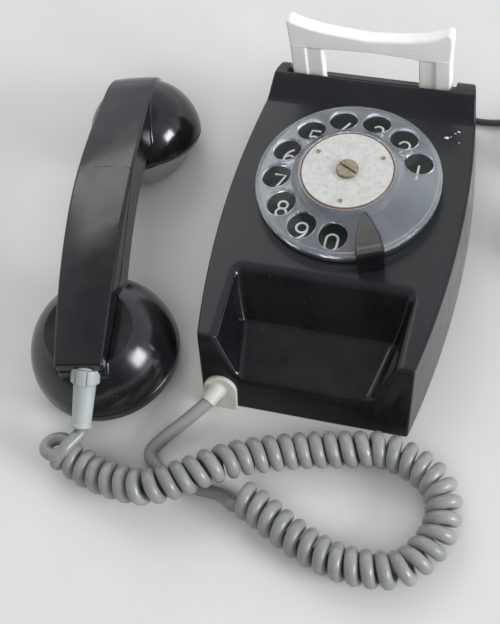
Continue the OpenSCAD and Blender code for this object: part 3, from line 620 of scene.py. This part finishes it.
def cradle_field(x, y, z):
    """The bar with its two horns, the posts, and the foot on its axle."""
    top = CRADLE_TOP
    x0, x1 = CRADLE_X - CRADLE_HALF, CRADLE_X + CRADLE_HALF
    bar = outline(x, z, [
        (x0, top - 10), (x0 + 14, top - 10), (x0 + 18, top - 9.4), (CRADLE_X, top - 8.6),
        (x1 - 18, top - 9.4), (x1 - 14, top - 10), (x1, top - 10), (x1 + 0.8, top + 2), (x1 + 0.6, top + 6.4),
        (x1 - 1.2, top + 7), (x1 - 5, top + 4.6), (x1 - 10, top + 2.8), (x1 - 16, top + 1.2),
        (x1 - 24, top + 0.1), (CRADLE_X, top - 1), (x0 + 24, top + 0.1), (x0 + 16, top + 1.1),
        (x0 + 10, top + 2.4), (x0 + 5, top + 4), (x0 + 1.2, top + 5.9), (x0 - 0.6, top + 5.2),
    ])
    solid = meet(bar, slab(y, CRADLE_FRONT, CRADLE_BACK), 1.1)
    for a, b in ((x0, x0 + 14), (x1 - 14, x1)):
        solid = join(solid, brick(x, y, z, (a, CRADLE_FRONT + 0.8, 30), (b, CRADLE_BACK, top - 4), 0.9), 0.6)
    for a, b in ((x0, x0 + 7), (x1 - 7, x1)):
        solid = join(solid, brick(x, y, z, (a, CRADLE_FRONT, 30), (b, CRADLE_BACK, top - 8), 0.9), 0.4)
    solid = join(solid, brick(x, y, z, (x0, CRADLE_FRONT, 27.5), (x1, CRADLE_BACK, 33), 0.6), 0.8)
    foot = (CRADLE_X - HOOK_FOOT_HALF, CRADLE_X + HOOK_FOOT_HALF)
    solid = join(solid, brick(x, y, z, (foot[0], 55.2, 20), (foot[1], 58.8, 29), 0.4), 0.4)
    off_axle = np.hypot(y - HOOK_AXLE_Y, z - HOOK_AXLE_Z)
    solid = np.minimum(solid, np.maximum(off_axle - HOOK_AXLE_R, slab(x, *foot)))
    solid = np.maximum(solid, HOOK_PIN_R - off_axle)
    return np.maximum(solid, -brick(x, y, z, (-26.1, 50, 15), (-21.9, 57, 33.5), 0.1))


def build_cradle():
    mould(
        "cradle", cradle_field, (-39, 52.4, 17.4), (35, 61.6, 74.4), 0.4,
        "hook", "cream_nylon", ["hook_cradle"],
    )


# ---------------------------------------------------------------- dial


def wheel_field(x, y, z):
    """The wheel's turned section, with its ten finger holes."""
    rim = WHEEL_R - 0.1
    solid = outline(np.hypot(x, y), z, [
        (SHAFT_HOLE_R, 42.5), (19.5, 42.5), (38, 38.9), (rim, 38.9), (rim, 40.9), (38, 41.5), (37, 41.3),
        (23.4, 44.1), (21, 46.2), (20.4, 46.6), (CARD_SEAT_R, 46.6), (CARD_SEAT_R, 45.6),
        (SHAFT_HOLE_R, 45.6),
    ])
    for i in range(10):
        a = math.radians(FIRST_HOLE + HOLE_STEP * i)
        hole = np.hypot(x - HOLE_PITCH_R * math.cos(a), y - HOLE_PITCH_R * math.sin(a)) - FINGER_R
        solid = cut(solid, hole, 0.55)
    return solid


def digit_strokes():
    """The middle lines of the ten figures, in units of half a figure's height."""

    def arc(cx, cy, r, a0, a1, n=14):
        t = np.radians(np.linspace(a0, a1, n))
        return [(cx + r * math.cos(k), cy + r * math.sin(k)) for k in t]

    return {
        "1": [[(0, -0.9), (0, 0.9)]],
        "2": [arc(0, 0.38, 0.52, 165, -35) + [(-0.55, -0.9), (0.58, -0.9)]],
        "3": [arc(0, 0.44, 0.46, 150, -90), arc(0, -0.42, 0.5, 90, -150)],
        "4": [[(0.28, 0.9), (-0.6, -0.42), (0.62, -0.42)], [(0.3, 0.1), (0.3, -0.9)]],
        "5": [[(0.5, 0.9), (-0.38, 0.9), (-0.46, 0.1)], arc(-0.02, -0.34, 0.56, 135, -145)],
        "6": [arc(0, -0.36, 0.53, 0, 360, 20), arc(0.75, -0.3, 1.28, 180, 112)],
        "7": [[(-0.52, 0.9), (0.54, 0.9), (-0.2, -0.9)]],
        "8": [arc(0, 0.46, 0.43, 0, 360, 20), arc(0, -0.42, 0.49, 0, 360, 20)],
        "9": [arc(0, 0.36, 0.53, 0, 360, 20), arc(-0.75, 0.3, 1.28, 0, -68)],
        "0": [arc(0, 0.34, 0.55, 0, 180) + arc(0, -0.34, 0.55, 180, 360) + [(0.55, 0.34)]],
    }


def ribbon(stroke, width, low, high):
    """A flat closed band along a stroke, between two heights."""
    p = np.array(stroke, float)
    along = np.gradient(p, axis=0)
    along /= np.linalg.norm(along, axis=1)[:, None]
    side = np.stack([-along[:, 1], along[:, 0]], axis=1) * width / 2
    left, right = p + side, p - side
    n = len(p)
    points = [(*q, z) for z in (low, high) for row in (left, right) for q in row]
    faces = []
    for i in range(n - 1):
        a, b, c, d = i, i + 1, n + i, n + i + 1
        faces += [(a, b, d, c), (2 * n + a, 2 * n + c, 2 * n + d, 2 * n + b)]
        faces += [(a, 2 * n + a, 2 * n + b, b), (c, d, 2 * n + d, 2 * n + c)]
    faces += [(0, n, 3 * n, 2 * n), (n - 1, 3 * n - 1, 4 * n - 1, 2 * n - 1)]
    return points, faces


def build_numerals():
    """The figures 1 to 0 on the plate, each seen through its hole."""
    strokes = digit_strokes()
    points, faces = [], []
    for i, figure in enumerate("1234567890"):
        a = math.radians(FIRST_HOLE + NUMERAL_TURN + HOLE_STEP * i)
        cx, cy = NUMERAL_R * math.cos(a) + NUMERAL_SHIFT, NUMERAL_R * math.sin(a)
        for layer, stroke in enumerate(strokes[figure]):
            dense = [(cx + u * NUMERAL_H / 2, cy + v * NUMERAL_H / 2) for u, v in stroke]
            lift = PLATE_TOP + 0.05 + 0.01 * layer
            p, f = ribbon(dense, NUMERAL_STROKE, PLATE_TOP - 0.02, lift)
            faces += [tuple(k + len(points) for k in face) for face in f]
            points += p
    numerals = add_piece("dial_numerals", points, faces, "telephone", "cream_nylon")
    numerals.data.shade_flat()


def screw_field(x, y, z):
    head = meet(np.hypot(x, y) - SCREW_R, np.abs(z - CARD_TOP + 0.2) - 1.7, 0.45)
    across = -x * math.sin(SCREW_SLOT_TURN) + y * math.cos(SCREW_SLOT_TURN)
    return cut(head, np.maximum(np.abs(across) - 0.5, CARD_TOP + 0.6 - z), 0.12)


def finger_stop_field(x, y, z):
    claw = outline(x, y, [
        (11, -19.8), (12.2, -19.8), (15.3, -22.9), (20.1, -29.5), (22.1, -34.2),
        (23.2, -37.6), (13, -41.8), (11.6, -38), (10.7, -33), (10.1, -25),
    ])
    upper = meet(claw, slab(z, 45.9, 47.7), 0.75)
    leg = outline(x, y, [(12, -38.3), (21.8, -34.2), (23.2, -37.6), (13, -41.8)])
    lower = meet(leg, slab(z, FACE_Z - 0.4, 47.2), 0.8)
    return join(upper, lower, 1.2)


def build_dial():
    mould(
        "clear_wheel", wheel_field, (-40, -40, 38), (40, 40, 47.6), 0.33,
        "dial", "clear_plastic", ["finger_wheel"],
    )
    mould(
        "slotted_screw", screw_field, (-5.4, -5.4, 44.4), (5.4, 5.4, 49), 0.16,
        "dial", "brass", ["wheel_screw"],
    )
    mould(
        "stop_claw", finger_stop_field, (9, -43, FACE_Z - 1), (24.4, -18.8, 48.8), 0.3,
        "telephone", "black_plastic", ["finger_stop"],
    )
    build_numerals()
    turns = np.radians(np.arange(0, 361, 4))
    height = np.full(len(turns), CARD_TOP - 0.25)
    ring = np.stack([CARD_RIM_R * np.cos(turns), CARD_RIM_R * np.sin(turns), height], axis=1)
    points, faces = tube(ring, 0.32, 8)
    add_piece("card_rim", points, faces, "dial", "brown_bakelite")


# ---------------------------------------------------------------- handset


def bar_field(x, y, z):
    """The handle: an arched back that runs into a roll over the ear dome, and an arched underside."""
    sides = np.maximum(*[
        np.hypot(x - s * (HANDLE_SIDE_R - HANDLE_HALF_W), y) - HANDLE_SIDE_R for s in (-1, 1)
    ])
    back = np.hypot(y, z - HANDLE_BACK_Z + HANDLE_BACK_R) - HANDLE_BACK_R + HANDLE_CROWN * x * x
    lean, roll_r = math.atan(EAR_RUN_SLOPE), EAR_R + 0.5
    ahead = (y - EAR[1]) * math.cos(lean) - (z - EAR[2]) * math.sin(lean)
    above = (y - EAR[1]) * math.sin(lean) + (z - EAR[2]) * math.cos(lean)
    roll = np.where(ahead > 0, np.hypot(ahead, above), above) - roll_r + HANDLE_CROWN * x * x
    solid = meet(soft_max(back, roll, 7.0), sides, 1.1)
    under = HANDLE_UNDER_R - np.hypot(y, z - HANDLE_UNDER_Z + HANDLE_UNDER_R)
    solid = meet(solid, under, 2.0)
    return meet(solid, HANDLE_END_Y - y, 1.0)


def tilted(y, z):
    """Along and over the ear cap's own face, from the ear dome's centre."""
    c, s = math.cos(EAR_TILT), math.sin(EAR_TILT)
    return (y - EAR[1]) * c - (z - EAR[2]) * s, (y - EAR[1]) * s + (z - EAR[2]) * c


def ball(x, y, z, centre, r):
    return np.sqrt((x - centre[0]) ** 2 + (y - centre[1]) ** 2 + (z - centre[2]) ** 2) - r


def cover_line(y, z):
    """Height over the joint between the handle and its cover."""
    bend, end = COVER_BEND[0], COVER_END[0]
    lower = line(y, z, COVER_START, COVER_BEND)
    upper = line(y, z, COVER_BEND, COVER_END)
    return np.where(y < bend, lower, np.where(y < end, upper, -(np.abs(y - end) + 1)))


def seam_gap(y):
    """Half the gap at the joint, which opens towards the mouth end."""
    return -0.06 + 0.6 * np.clip((8 - y) / 75, 0, 1)


def seat_field(x, y, z):
    """The shallow round seat that the strain relief comes out of."""
    out = unit(unlaid(BOOT_HOLE) - MOUTH)
    foot = MOUTH + (MOUTH_R - BOOT_SEAT_DEPTH) * out
    return rod(x, y, z, foot, foot + 12 * out, BOOT_HOLE_R, BOOT_HOLE_R)


def handset_field(x, y, z):
    """Both domes and the handle's lower part, hollowed for the capsules."""
    over_ear = tilted(y, z)[1]
    mouth = np.maximum(ball(x, y, z, MOUTH, MOUTH_R), MOUTH_SEAM_Z - z)
    ear = np.maximum(ball(x, y, z, EAR, EAR_R), -over_ear)
    bar = np.maximum(bar_field(x, y, z), 9 - z)
    mouth = cut(mouth, seat_field(x, y, z), 0.35)
    solid = join(np.minimum(mouth, ear), np.maximum(bar, np.where(y > 40, -over_ear, -99)), 0.7)
    solid = np.maximum(solid, -np.maximum(ball(x, y, z, MOUTH, MOUTH_R - WALL), z - 32))
    solid = np.maximum(solid, -np.maximum(ball(x, y, z, EAR, EAR_R - WALL), z - 33))
    return cut(solid, -cover_line(y, z) - seam_gap(y), 0.03)


def cover_field(x, y, z):
    """The handle's upper part."""
    return meet(bar_field(x, y, z), seam_gap(y) - cover_line(y, z), 0.03)


def mouth_cap_field(x, y, z):
    """The low cap, which carries on the mouth dome's own curve."""
    r = np.hypot(x - MOUTH[0], y - MOUTH[1])
    under = outline(r, z, [
        (0, 3.4), (16, 2.6), (22, 2.0), (24.5, 2.6), (28.2, 4.8), (34, 9), (34, MOUTH_SEAM_Z - 0.3),
        (28.4, MOUTH_SEAM_Z - 0.3), (27.4, 5.6), (0, 5.6),
    ])
    solid = meet(ball(x, y, z, MOUTH, MOUTH_R - 0.15), under, 0.8)
    return pierce(solid, x - MOUTH[0], y - MOUTH[1])


def ear_cap_field(x, y, z):
    """The shallow cap on the ear dome's tilted face."""
    along, over = tilted(y, z)
    r = np.hypot(x - EAR[0], along)
    under = outline(r, over, [
        (0, -3.6), (12, -4.2), (18, -4.9), (21.6, -4.9), (24.4, -3.4), (EAR_R - 0.15, -1.4),
        (EAR_R - 0.15, -0.3), (22.4, -0.3), (21.8, -2.2), (0, -2.2),
    ])
    return pierce(under, x - EAR[0], along)


def pierce(solid, x, y):
    """Seven sound holes."""
    for i in range(7):
        a, out = math.radians(60 * i), 6 if i else 0
        solid = np.maximum(solid, 1 - np.hypot(x - out * math.cos(a), y - out * math.sin(a)))
    return solid


def build_handset():
    mould(
        "handset_body", handset_field, (-32.5, -89, 8.4), (32.5, 85, 51), 0.5,
        "handset", "black_plastic", ["handset_shell"], laid,
    )
    mould(
        "handle_back", cover_field, (-13.6, -79.9, 33), (13.6, 16, 51), 0.4,
        "handset", "black_plastic", ["handle_cover"], laid,
    )
    mould(
        "mouth_ring", mouth_cap_field, (-32.5, -89, 1), (32.5, -24, 13.4), 0.5,
        "handset", "black_plastic", ["mouth_cap"], laid,
    )
    mould(
        "ear_ring", ear_cap_field, (-24, 29, -2), (29.5, 84, 25), 0.5,
        "handset", "black_plastic", ["ear_cap"], laid,
    )


def boot_field(x, y, z):
    """The cord's strain relief: a tapered sleeve with a collar of two lugs and a small ring at its end."""
    axis = unit(BOOT_TIP - BOOT_ROOT)
    side = unit(np.cross(axis, (0, 0, 1)))
    up = np.cross(side, axis)
    p = [x - BOOT_ROOT[0], y - BOOT_ROOT[1], z - BOOT_ROOT[2]]
    along, across, over = [sum(v * k for v, k in zip(p, d)) for d in (axis, side, up)]
    r = np.hypot(across, over)
    span = np.linalg.norm(BOOT_TIP - BOOT_ROOT)
    sleeve = meet(r - (BOOT_R - BOOT_TAPER * np.clip(along / span, 0, 1)), slab(along, -5, span - 0.4), 0.3)
    collar = meet(r - BOOT_COLLAR_R, slab(along, -2, 4.6 - 0.12 * np.abs(across)), 0.6)
    collar = cut(collar, np.maximum(np.abs(np.abs(across) - 2.3) - 0.35, 4.9 - over), 0.2)
    ring = meet(r - BOOT_RING_R, slab(along, span - 1.6, span - 0.1), 0.5)
    solid = join(join(sleeve, collar, 0.4), ring, 0.5)
    return cut(solid, np.maximum(r - LEAD_D / 2 - 0.15, span - 3 - along), 0.3)


def build_boot():
    low, high = np.minimum(BOOT_ROOT, BOOT_TIP) - 7.5, np.maximum(BOOT_ROOT, BOOT_TIP) + 7.5
    mould("strain_relief", boot_field, low, high, 0.3, "handset", "grey_boot", ["handset_gland"])


# ---------------------------------------------------------------- glands and cords


def cord_gland_field(x, y, z):
    """An arched flange on the low end, with the collar that the lead comes out of."""
    lean = math.hypot(CREASE_Y - BOTTOM_Y, FACE_Z)
    off = line(y, z, (BOTTOM_Y, 0), (CREASE_Y, FACE_Z))
    up = ((y - BOTTOM_Y) * (CREASE_Y - BOTTOM_Y) + z * FACE_Z) / lean
    round_top = np.hypot(x - GLAND_X, up - GLAND_RISE) - GLAND_HALF
    arch = np.where(up > GLAND_RISE, round_top, np.maximum(np.abs(x - GLAND_X) - GLAND_HALF, -z))
    flange = meet(arch, slab(off, -0.2, 1.8), 0.5)
    collar = meet(rod(x, y, z, COLLAR_ROOT, COLLAR_TIP, 4.0, 3.2), -off - 0.2, 0.1)
    solid = join(flange, collar, 0.6)
    return cut(solid, rod(x, y, z, COLLAR_ROOT, COLLAR_TIP + (COLLAR_TIP - COLLAR_ROOT), 2.6, 2.6), 0.3)


def curl_axis():
    """The middle line of the coils: it stands up in the open loop by the handset and then lies down."""
    return [
        (-91.8, -130.4, 16.2), (-91.7, -130.6, 13.2), (-90.8, -131.2, 10.6), (-87.6, -132.6, 8.9),
        (-82, -134.2, 8.4), (-74.5, -137, 8.5),
        (-61, -139.5, 11), (-50, -139.5, 13.2), (-38.5, -133.5, 13.5), (-28, -125.8, 13.2), (-16, -117.8, 10),
        (2.5, -110.6, 8), (24.5, -105.3, 8), (36, -103.5, 8), (49, -107, 8), (59, -114, 8),
        (63, -124, 8), (61.5, -136, 8), (54, -147.5, 8), (46, -151.2, 8), (31, -152.2, 8),
        (17.5, -149, 8), (5, -143.5, 8), (-6.5, -137.5, 8), (-15.5, -133.8, 8),
    ]


def curl_path():
    """The wire's own line: out of the strain relief, round the coils, and on to the telephone's gland."""
    axis = evenly(smooth(curl_axis(), 12), CURL_STEP)
    along, side, up = frames_along(axis)
    run = np.arange(len(axis)) * CURL_STEP
    turns = run / CURL_PITCH + 0.06 * np.sin(run / 9.0) + 0.05 * np.sin(run / 23.0 + 1)
    phase = 2 * math.pi * turns
    reach = (CURL_D - LEAD_D) / 2
    right = np.cross(along, up)
    coils = axis + reach * (np.cos(phase)[:, None] * -right + np.sin(phase)[:, None] * up)
    tip, gone = BOOT_TIP, unit(BOOT_TIP - BOOT_ROOT)
    lead_in = [tip - 4 * gone, tip, tip + 2.4 * gone]
    lead_out = [
        (-24, -133, 3), (-36, -132, 2.8), (-50, -128, 2.8), (-57, -122, 2.8), (-54, -115, 3.5),
        (-46, -106, 6),
        COLLAR_TIP, COLLAR_TIP + 0.4 * (COLLAR_ROOT - COLLAR_TIP),
    ]
    head = smooth([*lead_in, coils[0], coils[4]], 8)[:-8]
    tail = smooth([coils[-5], coils[-1], *lead_out], 8)[8:]
    return evenly(np.concatenate([head, coils[1:-1], tail]), WIRE_STEP)


def line_path():
    """The line cord: from its gland round the corner, twelve and a quarter turns, and on to the plug."""
    pitch = LINE_D + 0.05
    reaches = [LINE_COIL_R - pitch * k for k in range(4)]
    low, middle, high = COIL_LAYERS
    turns = [(r, low) for r in reaches]
    turns += [(r, middle) for r in reversed(reaches)]
    turns += [(r, high) for r in reaches]
    turns.append((14.2, 10.2))
    lead = smooth([
        (26, 64, 6), (26, 68, 6), (26.5, 71, 3.6), (30, 73, 1.8), (36, 72.5, 1.7), (44, 70.5, 1.7),
        (54, 71.5, 1.7), (63, 75, 1.7), (73, 79.2, 1.7), (79.5, 80.6, 1.6),
    ], 8)
    coil = []
    for k, (r, z) in enumerate(turns):
        nr, nz = turns[min(k + 1, len(turns) - 1)]
        last = COIL_STEPS * 0.24 if k == len(turns) - 1 else COIL_STEPS
        for i in range(int(last)):
            share = np.clip((i / COIL_STEPS - 0.75) / 0.25, 0, 1)
            share = share * share * (3 - 2 * share)
            a = math.radians(100 - 360 * i / COIL_STEPS)
            reach, rise = r + (nr - r) * share, z + (nz - z) * share
            coil.append((LINE_COIL[0] + reach * math.cos(a), LINE_COIL[1] + reach * math.sin(a), rise))
    leave = smooth([
        coil[-2], coil[-1], (101.6, 50, 10), (99.8, 40, 9), (97.4, 32, 6.4), (94, 25, 6), (92, 19, 6),
    ], 6)
    return evenly(np.concatenate([lead, coil, leave[12:]]), LINE_STEP)


def plug_field(x, y, z):
    """A plug that narrows towards its cord, with grip grooves in its sides."""
    off, narrowing = np.abs(x - PLUG_X), np.clip((y - 8) / 14, 0, 1)
    width = PLUG_HALF - PLUG_TAPER * narrowing**1.5
    solid = meet(off - width, slab(z, 0.2, 12) + 1.5 * narrowing, 2.4)
    solid = meet(solid, slab(y, -4, 22), 1.2)
    for k in range(4):
        groove = np.hypot(y - 12 - 2.4 * k, off - width - 0.2) - 0.7
        solid = cut(solid, groove, 0.2)
    return solid


def build_cords():
    """The curly cord, and the coiled line cord with its plug and tie."""
    wire = curl_path()
    points, faces = tube(wire, LEAD_D / 2, 12)
    cord = add_piece(
        "curly_cord", points, faces, None, "grey_pvc", replaces=["handset_cord", "handset_cord_lead"]
    )
    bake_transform(cord)
    flex = line_path()
    points, faces = tube(flex, LINE_D / 2, 10)
    lead = add_piece(
        "line_flex", points, faces, "telephone", "dark_cord", replaces=["line_cord", "line_coil"]
    )
    plug = mould(
        "plug_body", plug_field, (80, -5, -0.6), (104, 23, 13), 0.5, "telephone", "cream_nylon", ["line_plug"]
    )
    bend = [
        (-7.4, 1.5), (-7.4, 10.5), (-6, 12.2), (6, 12.2), (7.4, 10.5), (7.4, 1.5), (6, 0.3), (-6, 0.3),
        (-7.4, 1.5),
    ]
    loop = smooth([(104.5 + u, 60, w) for u, w in bend], 6)
    points, faces = tube(loop, 0.9, 8)
    tie = add_piece("coil_tie_band", points, faces, "telephone", "black_plate", replaces=["coil_tie"])


def build_glands():
    mould(
        "cord_gland_block", cord_gland_field, (-44, -99.5, -0.8), (-26.5, -85, 18), 0.3,
        "telephone", "beige_gland", ["cord_gland"],
    )


# ---------------------------------------------------------------- wear


def build_flecks():
    """Chips of wall paint on the face, beside the dial."""
    points, faces, corners = [], [], 9
    spots = [(35.5, 32.4, 1.0), (39.9, 36.4, 0.55), (38.6, 35.2, 0.35), (37.1, 33.2, 0.3), (41.0, 30.6, 0.25)]
    for x, y, size in spots:
        rim = []
        for k in range(corners):
            a = 2 * math.pi * k / corners
            r = size * rng.uniform(0.55, 1.1)
            rim.append((x + 1.5 * r * math.cos(a), y + 0.8 * r * math.sin(a)))
        base = len(points)
        points += [(*p, FACE_Z - 0.05) for p in rim] + [(*p, FACE_Z + 0.07) for p in rim]
        faces.append(tuple(base + k for k in range(corners))[::-1])
        faces.append(tuple(base + corners + k for k in range(corners)))
        for k in range(corners):
            a, b = base + k, base + (k + 1) % corners
            faces.append((a, b, b + corners, a + corners))
    flecks = add_piece("paint_flecks", points, faces, "telephone", "cream_nylon")
    flecks.data.shade_flat()


def dress_frame():
    """Every CAD node takes its slot's finish."""
    for row in frame["record"]["subparts"]:
        node = frame["nodes"][row["node"]]
        node.data.materials.clear()
        node.data.materials.append(finishes[row["material_slot"]])


aim_camera()
finishes = mix_finishes()
dress_frame()
build_cords()
build_glands()
build_boot()
build_housing()
build_cradle()
build_dial()
build_handset()
build_flecks()
lay_floor()
light_scene()
